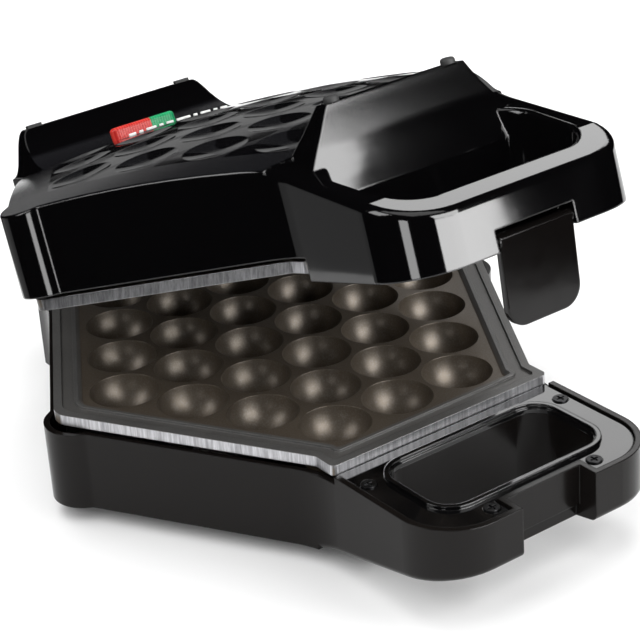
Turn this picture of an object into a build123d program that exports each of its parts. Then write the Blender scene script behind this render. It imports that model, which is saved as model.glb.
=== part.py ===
from build123d import *
from math import asin, atan2, cos, pi, radians, sin, sqrt, tan
import os

# Driving sizes of the cooking plates, in millimetres
cup_pitch = 30.0
cup_radius = 14.0
cup_wall = 2.5
boss_flat_depth = 1.0
cups_in_rows = (3, 4, 5, 6, 5, 4, 3)
plate_margin = 28.0
plate_shoulder_margin = 22.2
plate_edge_height = 4.4
plate_lip = 3.3
plate_groove_width = 4.8
plate_groove_depth = 1.0
plate_bead_width = 1.6
plate_floor_slope = 1.6
plate_floor_depth = 1.8
plate_tip_radius = 9.0
plate_corner_radius = 2.5
plate_neck_radius = 3.0

# Housings
wall = 2.5
top_wall = 3.4
housing_overhang = 2.0
shoulder_overhang = 1.3
body_rim = 6.0
body_height = 38.5
dome_rise = 11.0
pillar_radius = 14.0
pillar_reach = 110.6
pillar_blend = 3.0
neck_blend = 38.0
side_edge_radius = 1.0

# Handles
handle_length = 62.1
handle_corner_radius = 23.0
opening_setback = 7.6
opening_corner_radius = 10.0
side_rail = 15.5
front_bar = 17.0
slope_start = 10.9
slope_knee = 20.0
lower_knee_height = 27.0
lower_front_height = 22.8
upper_knee_height = 24.8
upper_front_height = 17.0
lower_handle_rim = 3.0
upper_handle_rim = -2.4
handle_edge_radius = 3.0
opening_edge_radius = 2.0
lower_opening_draft = 2.0
upper_opening_draft = 11.0

# Handle covers and their screws
cover_drop = 0.9
cover_thickness = 2.0
cover_gap = 0.5
cover_lip_height = 1.5
cover_lip_width = 2.0
cover_lip_gap = 0.8
boss_radius = 3.4
rear_screw_x = 46.6
rear_screw_back = 11.6
front_screw_x = 24.5
front_screw_in = 8.5
screw_head_radius = 2.9
screw_head_height = 1.6
screw_shank_radius = 1.4
screw_shank_length = 9.0
screw_gap = 0.1
cross_width = 0.8
cross_length = 3.6
cross_depth = 0.8

# How the two halves stand to each other
parting_gap = 0.6
foot_height = 7.5
hinge_back = 32.1
hinge_rise = 18.0
lid_opening = 17.5

# Hinge
knuckle_radius = 9.0
tower_inner_x = 28.0
tower_width = 10.0
tower_step = 1.5
knuckle_side_gap = 0.4
hinge_pin_radius = 3.0
hinge_pin_grip = 14.0
hinge_pin_head_radius = 4.6
hinge_pin_head = 1.5
press_gap = 0.02
running_gap = 0.06

# Fins that the opened or upended lid stands on
rear_fin_height = 57.0
rear_fin_thickness = 4.0
rear_fin_foot = 26.0
rear_fin_half_width = 42.0
rear_fin_hollow = 2.6
rear_fin_sweep = 6.0
rear_fin_shoulder = 38.0
rear_fin_hollow_top = 49.0
rear_fin_hollow_width = 3.0
rear_fin_hollow_foot = 15.0
rear_fin_hollow_half_width = 38.0
front_fin_height = 55.0
front_fin_thickness = 6.5
front_fin_half_width = 31.0
front_fin_foot_half_width = 45.0
front_fin_lean = 5.5
front_fin_foot = 20.5
front_fin_base = 10.0
front_fin_face_low = 24.0
front_fin_hollow = 1.5
front_fin_shoulder = 34.0
front_fin_waist = 46.0
front_fin_waist_half_width = 36.5
front_fin_hollow_top = 44.0
front_fin_hollow_half_width = 30.0
fin_low = 30.0

# Dimples on the lid
dimple_radius = 13.2
dimple_depth = 1.5
dimple_rows = (3, 4, 5, 6, 5, 4)

# Latch
latch_half_width = 16.5
latch_slot_gap = 0.9
latch_length = 33.5
latch_head = 2.2
latch_thickness = 2.6
latch_corner_radius = 8.0
latch_edge_radius = 0.8
latch_slot_top = 5.6
latch_slot_depth = 8.2
latch_pivot_height = 0.9
latch_pin_radius = 1.1
latch_rest_lean = 9.3
latch_hook_lean = 15.0
latch_hook_reach = 1.2
latch_hook_height = 2.4
latch_hook_half_width = 8.0
latch_pin_set = 0.3
latch_hook_play = 0.4
catch_height = 19.5
catch_gap = 0.4

# Heating element and its strapping
element_loop_radius = 66.0
element_tube_radius = 3.25
element_seat_gap = 0.05
element_terminal_angle = 14.0
element_tail_length = 4.0
element_bend_radius = 10.0
element_pin_radius = 1.2
element_pin_length = 7.0
pad_radius = 4.2
pad_spacing = 9.5
strap_thickness = 0.9
strap_width = 7.0
strap_gap = 0.1
strap_screw_head_radius = 2.4
strap_screw_head_height = 1.2
strap_screw_length = 4.0
strap_screw_radius = 1.0

# Plate posts, tongues and the reflector that the posts carry
post_x = 46.0
post_y = 88.0
post_radius = 5.0
post_neck_radius = 3.0
post_shoulder = 27.5
seat_boss_radius = 5.5
tongue_x = 22.0
tongue_width = 12.0
tongue_thickness = 2.0
tongue_gap = 0.1
tongue_front_reach = 4.6
tongue_rear_reach = 1.6
tongue_root = 5.0
window_gap = 0.4
reflector_thickness = 0.8
reflector_clearance = 2.0
reflector_rim = 5.0
reflector_notch_half_width = 26.0
reflector_notch_reach = 74.0
reflector_hole_gap = 0.3
washer_radius = 6.0
washer_thickness = 0.7
washer_gap = 0.05

# Feet
foot_radius = 8.0
foot_x = 62.0
foot_y = 42.0
foot_seat_depth = 1.0
foot_gap = 0.2
foot_edge_radius = 1.2
fin_foot_radius = 2.8
fin_foot_stem_radius = 1.2
fin_foot_stem_length = 4.0
fin_foot_height = 2.4
fin_foot_edge_radius = 1.2
fin_foot_seat = 1.2
front_fin_foot_x = 26.5
rear_fin_foot_x = 38.0
rear_fin_foot_length = 7.0

# Indicator lamps
lens_half_width = 3.1
lens_back = 77.0
red_lens_length = 18.5
green_lens_length = 13.0
lens_centre_x = -2.0
lens_proud = 5.2
lens_depth = 5.0
lens_gap = 0.12
lens_edge_radius = 1.6
lens_flange = 1.2
lens_seat_gap = 0.45
lens_leg_radius = 1.0
lens_leg_in = 1.2
lug_x = 19.5
lug_radius = 2.2
lamp_level = 10.0
lamp_radius = 2.0
lamp_length = 8.0
lamp_holder_thickness = 1.6
lamp_holder_length = 44.0
lamp_holder_width = 9.0
lamp_screw_radius = 1.0
lamp_screw_head_radius = 1.8
lamp_screw_head = 1.0
lamp_screw_length = 5.0

# Leads
lead_radius = 1.2
lead_run = 6.0
lead_bend = 3.0
lead_end_gap = 0.6

# Thermostats, fuse, terminal block and cord gland
thermostat_radius = 8.0
thermostat_height = 6.0
thermostat_flange = 1.0
thermostat_tab = 5.0
thermostat_y = 8.66
thermostat_x = 30.0
fuse_radius = 1.8
fuse_length = 14.0
fuse_wire_radius = 0.5
fuse_wire_length = 6.0
fuse_sleeve_wall = 0.6
fuse_sleeve_length = 20.0
fuse_gap = 0.05
fuse_y = -30.0
fuse_clip_thickness = 0.6
fuse_clip_foot = 7.0
fuse_clip_width = 6.0
terminal_length = 30.0
terminal_width = 12.0
terminal_drop = 5.4
terminal_y = 90.0
terminal_screw_y = 87.0
terminal_screw_head = 1.0
terminal_screw_radius = 1.6
terminal_screw_count = 3
terminal_screw_pitch = 9.0
gland_height = 22.0
gland_hole_radius = 5.5
gland_flange_radius = 8.0
gland_flange = 2.0
gland_clip_radius = 7.0
gland_bore_radius = 3.6
gland_gap = 0.05

# Working values
overrun = 2.0
pick_distance = 0.01
end_shares = (0, 1 / 2, 1)
row_pitch = cup_pitch * sqrt(3) / 2
widest_row = max(cups_in_rows)
row_count = len(cups_in_rows)

plate_side = (widest_row - 1) / 2 * cup_pitch * cos(pi / 6) + plate_margin
plate_end = (row_count - 1) / 2 * row_pitch + plate_margin
plate_shoulder = (cups_in_rows[0] - 1) / 2 * cup_pitch + plate_shoulder_margin
housing_side = plate_side + housing_overhang
housing_end = plate_end + housing_overhang
housing_shoulder = plate_shoulder + shoulder_overhang
pillar_x = pillar_reach - pillar_radius
handle_front = housing_end + handle_length
opening_rear = housing_end + opening_setback
opening_front = handle_front - front_bar
opening_half_width = housing_shoulder - side_rail
dome_corner = housing_side / cos(pi / 6)
dome_radius = (dome_corner**2 + dome_rise**2) / (2 * dome_rise)
dome_centre = body_height + dome_rise - dome_radius
parting_height = body_height + foot_height
boss_level = plate_floor_depth + cup_radius + cup_wall - boss_flat_depth
element_level = boss_level + element_tube_radius + element_seat_gap

# Planes of the two halves, each with its Z pointing away from the plates' meeting face.
# The origin of the whole lies on the table under the middle of its length and width.
hinge_y = housing_end + hinge_back
lid_up = (0, sin(radians(lid_opening)), cos(radians(lid_opening)))
middle_y = (handle_front - hinge_y - knuckle_radius) / 2
lower_half = Plane(origin=(0, middle_y, parting_height), x_dir=(-1, 0, 0), z_dir=(0, 0, -1))
hinge_place = (0, middle_y + hinge_y, parting_height + hinge_rise)
hinge_centre = Plane(origin=hinge_place, x_dir=(1, 0, 0), z_dir=lid_up)
lid_origin = hinge_centre.from_local_coords((0, -hinge_y, parting_gap - hinge_rise))
upper_half = Plane(origin=lid_origin, x_dir=(1, 0, 0), z_dir=lid_up)

os.makedirs("parts", exist_ok=True)


sides = (-1, 1)


def finish(piece, name):
    piece.part.label = name
    export_step(piece.part, "parts/" + name + ".step")


def side_view(half, x=0):
    """Plane across a half, drawn with its depth to the right and its height upward."""
    return Plane(origin=half.from_local_coords((x, 0, 0)), x_dir=half.y_dir, z_dir=half.x_dir)


def front_view(half, y=0):
    """Plane along a half's front, facing its handle, with its height upward."""
    return Plane(origin=half.from_local_coords((0, y, 0)), x_dir=half.x_dir, z_dir=-half.y_dir)


def level(half, height):
    return half.offset(height)


def cup_places():
    places = []
    for row, count in enumerate(cups_in_rows):
        y = (row - (row_count - 1) / 2) * row_pitch
        places += [((k - (count - 1) / 2) * cup_pitch, y) for k in range(count)]
    return places


def four(x, y):
    return [(-x, -y), (x, -y), (x, y), (-x, y)]


def six_sided(side, end, shoulder):
    """Plan of a plate or housing: six sides with square shoulders at the front and rear."""
    tip = side / cos(pi / 6)
    neck = (tip - shoulder) * sqrt(3)
    return [
        (-tip, 0), (-shoulder, -neck), (-shoulder, -end), (shoulder, -end), (shoulder, -neck),
        (tip, 0), (shoulder, neck), (shoulder, end), (-shoulder, end), (-shoulder, neck),
    ]


def near(vertices, points):
    """Those corners of a sketch that lie on the given points."""
    return [
        corner for corner in vertices
        if any((Vector(corner) - Vector(*point)).length < pick_distance for point in points)
    ]


def plate_outline(sketch, inset):
    points = six_sided(plate_side - inset, plate_end - inset, plate_shoulder - inset)
    Polygon(*points, align=None)
    fillet(near(sketch.vertices(), [points[0], points[5]]), plate_tip_radius)
    straight = points[1][1] - points[2][1]
    corner = min(plate_corner_radius, straight / 2)
    fillet(near(sketch.vertices(), [points[k] for k in (2, 3, 7, 8)]), corner)
    fillet(near(sketch.vertices(), [points[k] for k in (1, 4, 6, 9)]), plate_neck_radius)


def body_outline(sketch, inset):
    points = six_sided(housing_side - inset, housing_end - inset, housing_shoulder - inset)
    Polygon(*points, align=None)
    straight = (points[1][1] - points[2][1]) / tan(pi / 12)
    blend = min(neck_blend, straight - inset)
    fillet(near(sketch.vertices(), [points[k] for k in (1, 4, 6, 9)]), blend)
    Rectangle(2 * pillar_x, 2 * (pillar_radius - inset))
    with Locations((-pillar_x, 0), (pillar_x, 0)):
        Circle(pillar_radius - inset)
    tip = points[5][0]
    seams = [
        v for v in sketch.vertices()
        if abs(abs(v.Y) - (tip - abs(v.X)) * sqrt(3)) < pick_distance
        and abs(v.X) > housing_shoulder + pillar_radius
    ]
    fillet(seams, pillar_blend)


def opening_outline(grow):
    with Locations((0, -(opening_rear + opening_front) / 2)):
        RectangleRounded(
            2 * (opening_half_width + grow), opening_front - opening_rear + 2 * grow,
            opening_corner_radius + grow,
        )


def handle_outline(inset, rear):
    """Plan of the handle from its front edge back to a given place."""
    front = handle_front - inset
    half_width = housing_shoulder - inset
    reach = handle_corner_radius - inset
    with BuildLine() as edge:
        Polyline(
            (-half_width, -(front - reach)), (-half_width, -rear), (half_width, -rear),
            (half_width, -(front - reach)),
        )
        RadiusArc((half_width, -(front - reach)), (half_width - reach, -front), reach)
        Line((half_width - reach, -front), (reach - half_width, -front))
        RadiusArc((reach - half_width, -front), (-half_width, -(front - reach)), reach)
    make_face(edge.edges())


def under_slope(knee_height, front_height, inset):
    """Side profile of all that lies beyond a handle's sloping face."""
    start = housing_end - slope_start
    knee = handle_front - slope_knee
    far = body_height + dome_rise + overrun
    Polygon(
        (-start, far), (-start, body_height - inset), (-knee, knee_height - inset),
        (-handle_front - overrun, front_height - inset), (-handle_front - overrun, far),
        align=None,
    )


def slope_height(knee_height, front_height, y):
    """Height of a handle's sloping face at a distance in front of the middle."""
    start = housing_end - slope_start
    knee = handle_front - slope_knee
    if y < knee:
        return body_height + (knee_height - body_height) * (y - start) / (knee - start)
    end = handle_front + overrun
    return knee_height + (front_height - knee_height) * (y - knee) / (end - knee)


def cover_screw_places():
    rear = -(housing_end + rear_screw_back)
    front = -(handle_front - front_screw_in)
    return [(-rear_screw_x, rear), (rear_screw_x, rear), (-front_screw_x, front), (front_screw_x, front)]


pivot_y = -(handle_front - latch_thickness)
slot_half_width = latch_half_width + latch_slot_gap
ear_half_width = slot_half_width + wall
catch_depth = catch_height + parting_gap + latch_pivot_height
catch_back = pivot_y + catch_depth * tan(radians(latch_hook_lean)) + catch_gap
catch_pocket = catch_back + latch_hook_reach + 2 * catch_gap


def latch_recess_back():
    """Side profile of the solid behind the lower latch recess."""
    pocket_top = slope_height(lower_knee_height, lower_front_height, -catch_pocket)
    Polygon(
        (-(handle_front - wall / 2), lower_handle_rim),
        (catch_back + wall, lower_handle_rim), (catch_back + wall, catch_height - wall),
        (catch_pocket + wall, catch_height - wall),
        (catch_pocket + wall, pocket_top - wall / 2),
        (-(handle_front - wall / 2), lower_front_height - wall / 2),
        align=None,
    )


def latch_recess():
    """Side profile of the recess that the latch lies in when it is shut."""
    Polygon(
        (-handle_front - overrun, lower_handle_rim - overrun),
        (catch_back, lower_handle_rim - overrun),
        (catch_back, catch_height), (catch_pocket, catch_height),
        (catch_pocket, body_height), (-handle_front - overrun, body_height),
        align=None,
    )


def channel_shape(half, rim, knee_height, front_height, draft):
    bed = rim + cover_drop + cover_thickness
    spread = (bed - rim) * tan(radians(draft))
    with BuildPart() as channel:
        with BuildSketch(level(half, bed)):
            handle_outline(wall, housing_end)
        extrude(amount=body_height - bed)
        with BuildSketch(level(half, bed)):
            opening_outline(wall + spread)
        extrude(amount=body_height, taper=-draft, mode=Mode.SUBTRACT)
        with BuildSketch(side_view(half)):
            under_slope(knee_height, front_height, wall)
        extrude(amount=2 * housing_shoulder, both=True, mode=Mode.SUBTRACT)
        with BuildSketch(level(half, rim - overrun)):
            handle_outline(wall, housing_end)
        extrude(amount=bed - rim + overrun)
    return channel.part


def add_cover_bosses(half, rim, knee_height, front_height):
    """Screw bosses that stand on the handle's floor."""
    bed = rim + cover_drop + cover_thickness
    for x, y in cover_screw_places():
        floor = slope_height(knee_height, front_height, -y) - wall / 2
        with BuildSketch(level(half, bed)) as boss:
            with Locations((x, y)):
                Circle(boss_radius)
        extrude(boss.sketch, amount=floor - bed)
        with BuildSketch(level(half, bed)) as pilot:
            with Locations((x, y)):
                Circle(screw_shank_radius + screw_gap)
        extrude(pilot.sketch, amount=screw_shank_length, mode=Mode.SUBTRACT)


def finger_space(half, rim, draft):
    """Space inside a handle, widening away from the rim."""
    with BuildPart() as space:
        with BuildSketch(level(half, rim)):
            opening_outline(0)
        extrude(amount=body_height, taper=-draft)
    return space.part


def sloping_edges(half, edges):
    """Edges round a handle's top, without its uprights and the folds across it."""
    chosen = []
    for edge in edges:
        start, middle, end = [half.to_local_coords(edge @ share) for share in end_shares]
        fold = abs(start.Z - end.Z) < pick_distance and abs(start.Y - end.Y) < pick_distance
        fold = fold and abs(start.X) + abs(end.X) > 2 * (housing_shoulder - side_rail)
        fold = fold and abs(middle.Y + handle_front) > pick_distance
        if min(start.Z, end.Z) > body_rim + overrun and not fold:
            chosen.append(edge)
    return chosen


def hollow_handle(half, rim, knee_height, front_height, draft):
    """Handle with its sloping top, rounded edges, opening, trough and screw bosses."""
    start = housing_end - slope_start
    space = finger_space(half, rim, draft)
    with BuildPart() as handle:
        with BuildSketch(level(half, body_rim)) as plan:
            body_outline(plan, 0)
            with Locations((0, -start - handle_front)):
                Rectangle(4 * housing_side, 2 * handle_front, mode=Mode.INTERSECT)
        extrude(amount=body_height - body_rim)
        with BuildSketch(level(half, rim)):
            handle_outline(0, housing_end)
        extrude(amount=body_height - rim)
        with BuildSketch(side_view(half)):
            under_slope(knee_height, front_height, 0)
        extrude(amount=2 * housing_side, both=True, mode=Mode.SUBTRACT)
        fillet(sloping_edges(half, handle.edges()), handle_edge_radius)
        outside = handle.edges()
        add(space, mode=Mode.SUBTRACT)
        fillet(sloping_edges(half, handle.edges() - outside), opening_edge_radius)
        add(channel_shape(half, rim, knee_height, front_height, draft), mode=Mode.SUBTRACT)
        add_cover_bosses(half, rim, knee_height, front_height)
        add(space, mode=Mode.SUBTRACT)
    return handle.part


def cut_tongue_windows(half, rim):
    """Openings in the body's front and rear walls for the plate's tongues."""
    top = rim + cover_drop + cover_thickness + tongue_gap
    with BuildSketch(level(half, top - window_gap)) as windows:
        with GridLocations(2 * tongue_x, 2 * (housing_end - wall / 2), 2, 2):
            Rectangle(tongue_width + 2 * window_gap, wall + 2 * window_gap)
    extrude(windows.sketch, amount=tongue_thickness + 2 * window_gap, mode=Mode.SUBTRACT)


def build_plate(half, rim):
    """Cast plate with its rim, thirty cups, posts, tongues and strap pads."""
    tongue_level = rim + cover_drop + cover_thickness + tongue_gap
    with BuildPart() as plate:
        with BuildSketch(half) as plan:
            plate_outline(plan, 0)
        extrude(amount=plate_edge_height)
        cup_level = half.offset(plate_floor_depth)
        with Locations(*[cup_level.location * Location((x, y, 0)) for x, y in cup_places()]):
            Sphere(cup_radius + cup_wall)
        with BuildSketch(level(half, boss_level)):
            Rectangle(3 * plate_end, 3 * plate_end)
        extrude(amount=cup_radius, mode=Mode.SUBTRACT)
        with BuildSketch(half):
            Rectangle(3 * plate_end, 3 * plate_end)
        extrude(amount=-3 * cup_radius, mode=Mode.SUBTRACT)
        with BuildSketch(level(half, plate_floor_depth)):
            with Locations(*four(post_x, post_y)):
                Circle(post_radius)
        extrude(amount=post_shoulder - plate_floor_depth)
        with BuildSketch(level(half, plate_floor_depth)):
            with Locations(*four(post_x, post_y)):
                Circle(post_neck_radius)
        extrude(amount=body_height - wall - plate_floor_depth)
        with BuildSketch(level(half, plate_floor_depth)):
            with Locations(*strap_pad_places(), (thermostat_x, thermostat_y)):
                Circle(pad_radius)
        extrude(amount=boss_level - plate_floor_depth)
        with BuildSketch(level(half, boss_level)):
            with Locations(*strap_pad_places()):
                Circle(strap_screw_radius + press_gap)
        extrude(amount=-strap_screw_length, mode=Mode.SUBTRACT)
        with BuildSketch(level(half, plate_floor_depth)):
            with GridLocations(2 * tongue_x, 2 * (plate_end - tongue_root), 2, 2):
                Rectangle(tongue_width, tongue_root)
        extrude(amount=tongue_level + tongue_thickness - plate_floor_depth)
        for side, reach in ((-1, tongue_front_reach), (1, tongue_rear_reach)):
            with BuildSketch(level(half, tongue_level)):
                with Locations((0, side * (plate_end + (reach - tongue_root) / 2))):
                    with GridLocations(2 * tongue_x, 0, 2, 1):
                        Rectangle(tongue_width, reach + tongue_root)
            extrude(amount=tongue_thickness)
        with BuildSketch(half) as groove:
            plate_outline(groove, plate_lip)
        extrude(amount=plate_groove_depth, mode=Mode.SUBTRACT)
        bead = plate_lip + plate_groove_width
        with BuildSketch(half) as ring:
            plate_outline(ring, bead)
        extrude(amount=plate_groove_depth)
        pocket = bead + plate_bead_width
        with BuildSketch(half) as mouth:
            plate_outline(mouth, pocket)
        with BuildSketch(level(half, plate_floor_depth)) as floor:
            plate_outline(floor, pocket + plate_floor_slope)
        loft(mode=Mode.SUBTRACT)
        with Locations(*[cup_level.location * Location((x, y, 0)) for x, y in cup_places()]):
            Sphere(cup_radius, mode=Mode.SUBTRACT)
    return plate


def strap_places():
    """Middle of each strap and its direction, over the cups that the loop crosses."""
    angle = 180 / pi * atan2(row_pitch, 2 * cup_pitch)
    return [angle, 180 - angle, 180 + angle, 360 - angle]


def polar(radius, angle):
    return (radius * cos(radians(angle)), radius * sin(radians(angle)))


def strap_pad_places():
    return [
        polar(element_loop_radius + turn * pad_spacing, angle)
        for angle in strap_places() for turn in sides
    ]


def tower_profile():
    """Side profile of a hinge tower, drawn in the lower half with its height downward."""
    Polygon(
        (housing_end - wall / 2, body_height - wall),
        (housing_end - wall / 2, body_rim),
        (housing_end + tower_step, body_rim - tower_step),
        (hinge_y - knuckle_radius, -hinge_rise),
        (hinge_y + knuckle_radius, -hinge_rise),
        (hinge_y + knuckle_radius, body_rim),
        (housing_end + tower_step, body_height - wall),
        align=None,
    )
    with Locations((hinge_y, -hinge_rise)):
        Circle(knuckle_radius)


def knuckle_space():
    """Everything behind the lower body's rear wall that lies between the towers."""
    Polygon(
        (housing_end, body_height), (housing_end, -hinge_rise - knuckle_radius - overrun),
        (hinge_y + knuckle_radius + overrun, -hinge_rise - knuckle_radius - overrun),
        (hinge_y + knuckle_radius + overrun, body_height), align=None,
    )


def before_slope():
    """Side profile of everything in front of the place where the slope starts."""
    start = housing_end - slope_start
    Polygon(
        (-start, -overrun), (-start, body_height + dome_rise + overrun),
        (-handle_front, body_height + dome_rise + overrun), (-handle_front, -overrun), align=None,
    )


# Lower housing
lower_handle = hollow_handle(
    lower_half, lower_handle_rim, lower_knee_height, lower_front_height, lower_opening_draft
)
with BuildPart() as lower_housing:
    with BuildSketch(level(lower_half, body_rim)) as lower_plan:
        body_outline(lower_plan, 0)
    extrude(amount=body_height - body_rim)
    with BuildSketch(side_view(lower_half)):
        before_slope()
    extrude(amount=2 * housing_side, both=True, mode=Mode.SUBTRACT)
    add(lower_handle)
    with BuildSketch(level(lower_half, body_rim - overrun)) as lower_inside:
        body_outline(lower_inside, wall)
    extrude(amount=body_height - wall - body_rim + overrun, mode=Mode.SUBTRACT)
    with BuildSketch(side_view(lower_half)):
        latch_recess_back()
    extrude(amount=slot_half_width + wall, both=True)
    with BuildSketch(side_view(lower_half)):
        latch_recess()
    extrude(amount=slot_half_width, both=True, mode=Mode.SUBTRACT)
    with BuildSketch(level(lower_half, body_height)):
        with Locations(*four(foot_x, foot_y)):
            Circle(foot_radius + foot_gap)
    extrude(amount=-foot_seat_depth, mode=Mode.SUBTRACT)
    with BuildSketch(side_view(lower_half)):
        tower_profile()
    extrude(amount=tower_inner_x + tower_width, both=True)
    with BuildSketch(side_view(lower_half)):
        knuckle_space()
    extrude(amount=tower_inner_x, both=True, mode=Mode.SUBTRACT)
    with BuildSketch(side_view(lower_half)):
        with Locations((hinge_y, -hinge_rise)):
            Circle(hinge_pin_radius + press_gap)
    extrude(amount=tower_inner_x + tower_width + overrun, both=True, mode=Mode.SUBTRACT)
    with BuildSketch(front_view(lower_half, housing_end + overrun)):
        with Locations((0, gland_height)):
            Circle(gland_hole_radius)
    extrude(amount=wall + 2 * overrun, mode=Mode.SUBTRACT)
    cut_tongue_windows(lower_half, lower_handle_rim)
finish(lower_housing, "lower_housing")

lower_plate = build_plate(lower_half, lower_handle_rim)
finish(lower_plate, "lower_plate")


def lid_ball(centre, seam):
    """Plane at a ball's centre, with the ball's poles and seam turned away from the lid's top."""
    origin = upper_half.from_local_coords(centre)
    return Plane(origin=origin, x_dir=seam * upper_half.z_dir, z_dir=upper_half.y_dir)


def dome_shape(shrink):
    """Ball whose cap is the lid's crowned top."""
    with BuildPart(lid_ball((0, 0, dome_centre), -1)) as ball:
        Sphere(dome_radius - shrink)
    return ball.part


def dome_height(y, shrink=0):
    return dome_centre + sqrt((dome_radius - shrink) ** 2 - y**2)


def dome_drop(x):
    return dome_radius - sqrt(dome_radius**2 - x**2)


def rear_fin_side():
    foot = housing_end - rear_fin_foot
    rise = (housing_end - rear_fin_thickness, rear_fin_height)
    start = (foot, dome_height(foot) - dome_drop(housing_shoulder))
    middle = (Vector(*start) + Vector(*rise)) / 2 + Vector(rear_fin_hollow, -rear_fin_hollow)
    with BuildLine() as edge:
        ThreePointArc(start, middle, rise)
        Polyline(
            rise, (housing_end, rear_fin_height), (housing_end, fin_low), (foot, fin_low), start,
        )
    make_face(edge.edges())


def rear_fin_front():
    with BuildLine() as edge:
        Bezier(
            (rear_fin_half_width, rear_fin_height),
            (rear_fin_half_width + rear_fin_sweep, rear_fin_height),
            (housing_shoulder - rear_fin_sweep, rear_fin_shoulder),
            (housing_shoulder, rear_fin_shoulder),
        )
        Polyline(
            (housing_shoulder, rear_fin_shoulder), (housing_shoulder, fin_low),
            (-housing_shoulder, fin_low), (-housing_shoulder, rear_fin_shoulder),
        )
        Bezier(
            (-housing_shoulder, rear_fin_shoulder),
            (rear_fin_sweep - housing_shoulder, rear_fin_shoulder),
            (-rear_fin_half_width - rear_fin_sweep, rear_fin_height),
            (-rear_fin_half_width, rear_fin_height),
        )
        Line((-rear_fin_half_width, rear_fin_height), (rear_fin_half_width, rear_fin_height))
    make_face(edge.edges())


def front_fin_face(height):
    """How far the front fin's leaning, hollow face lies behind its foot at a height."""
    share = (height - front_fin_face_low) / (front_fin_height - front_fin_face_low)
    return front_fin_lean * share + 4 * front_fin_hollow * share * (1 - share)


def front_fin_side():
    face_top = (front_fin_lean - opening_rear, front_fin_height)
    face_low = (-opening_rear, front_fin_face_low)
    middle = (Vector(*face_top) + Vector(*face_low)) / 2 + Vector(front_fin_hollow, 0)
    foot = front_fin_foot - opening_rear
    with BuildLine() as edge:
        ThreePointArc(face_low, middle, face_top)
        Polyline(
            face_top, (face_top[0] + front_fin_thickness, front_fin_height),
            (foot, body_height), (foot, front_fin_base), (-opening_rear, front_fin_base), face_low,
        )
    make_face(edge.edges())


def front_fin_front():
    Polygon(
        (-front_fin_foot_half_width, front_fin_base),
        (front_fin_foot_half_width, front_fin_base),
        (front_fin_foot_half_width, front_fin_shoulder),
        (front_fin_waist_half_width, front_fin_waist),
        (front_fin_half_width, front_fin_height), (-front_fin_half_width, front_fin_height),
        (-front_fin_waist_half_width, front_fin_waist),
        (-front_fin_foot_half_width, front_fin_shoulder),
        align=None,
    )


# Fins, each the overlap of its side outline and its front outline
with BuildPart() as rear_fin:
    with BuildSketch(side_view(upper_half)):
        rear_fin_side()
    extrude(amount=housing_shoulder, both=True)
    with BuildSketch(front_view(upper_half, housing_end + overrun)):
        rear_fin_front()
    extrude(amount=housing_end, mode=Mode.INTERSECT)

with BuildPart() as front_fin:
    with BuildSketch(side_view(upper_half)):
        front_fin_side()
    extrude(amount=front_fin_foot_half_width, both=True)
    with BuildSketch(front_view(upper_half)):
        front_fin_front()
    extrude(amount=handle_front, mode=Mode.INTERSECT)


def fin_hollows():
    """Side profiles of the hollows inside both fins."""
    rear = housing_end - wall
    Polygon(
        (rear, fin_low), (rear, rear_fin_hollow_top), (rear - rear_fin_hollow_width, rear_fin_hollow_top),
        (rear - rear_fin_hollow_foot, body_height), (rear - rear_fin_hollow_foot, fin_low),
        align=None,
    )


def front_fin_hollow_side():
    """Hollow whose front keeps the fin's concave face at an even wall."""
    face = wall - opening_rear
    back = front_fin_foot - opening_rear - wall
    low = (face, front_fin_face_low)
    high = (face + front_fin_face(front_fin_hollow_top), front_fin_hollow_top)
    halfway = (front_fin_face_low + front_fin_hollow_top) / 2
    with BuildLine() as edge:
        ThreePointArc(low, (face + front_fin_face(halfway), halfway), high)
        Polyline(
            high, (high[0] + overrun, front_fin_hollow_top), (back, body_height - 2 * wall),
            (back, front_fin_base - overrun), (face, front_fin_base - overrun), low,
        )
    make_face(edge.edges())


lens_tilt = asin(lens_back / dome_radius)
lens_centre = upper_half.from_local_coords((lens_centre_x, lens_back, dome_height(lens_back)))
lens_normal = upper_half.z_dir * cos(lens_tilt) + upper_half.y_dir * sin(lens_tilt)
lens_plane = Plane(origin=lens_centre, x_dir=upper_half.x_dir, z_dir=lens_normal)
lens_length = red_lens_length + green_lens_length
lens_split = red_lens_length - lens_length / 2
lens_flange_level = -(top_wall + lens_seat_gap)

# Hollow of the upper housing, open towards the plate and up into both fins
with BuildPart() as upper_cavity:
    with BuildSketch(level(upper_half, body_rim - overrun)) as upper_inside:
        body_outline(upper_inside, wall)
    extrude(amount=body_height + dome_rise - body_rim + overrun)
    add(dome_shape(top_wall), mode=Mode.INTERSECT)
    with BuildSketch(side_view(upper_half)):
        under_slope(upper_knee_height, upper_front_height, wall)
    extrude(amount=2 * housing_shoulder, both=True, mode=Mode.SUBTRACT)
    with BuildSketch(side_view(upper_half)):
        fin_hollows()
    extrude(amount=rear_fin_hollow_half_width, both=True)
    with BuildSketch(side_view(upper_half)):
        front_fin_hollow_side()
    extrude(amount=front_fin_hollow_half_width, both=True)

front_pad_y = front_fin_lean - opening_rear + front_fin_thickness / 2
rear_pad_y = housing_end - rear_fin_thickness / 2
dimple_ball = (dimple_radius**2 + dimple_depth**2) / (2 * dimple_depth)


def dimple_places():
    places = []
    for row, count in enumerate(dimple_rows):
        y = (row - (row_count - 1) / 2) * row_pitch
        places += [((k - (count - 1) / 2) * cup_pitch, y) for k in range(count)]
    return places


def dimple_location(x, y):
    """Place of the ball that presses one dimple, straight above the crowned top."""
    reach = (dome_radius + dimple_ball - dimple_depth) / dome_radius
    height = sqrt(dome_radius**2 - x**2 - y**2)
    return lid_ball((x * reach, y * reach, dome_centre + height * reach), 1).location


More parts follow.
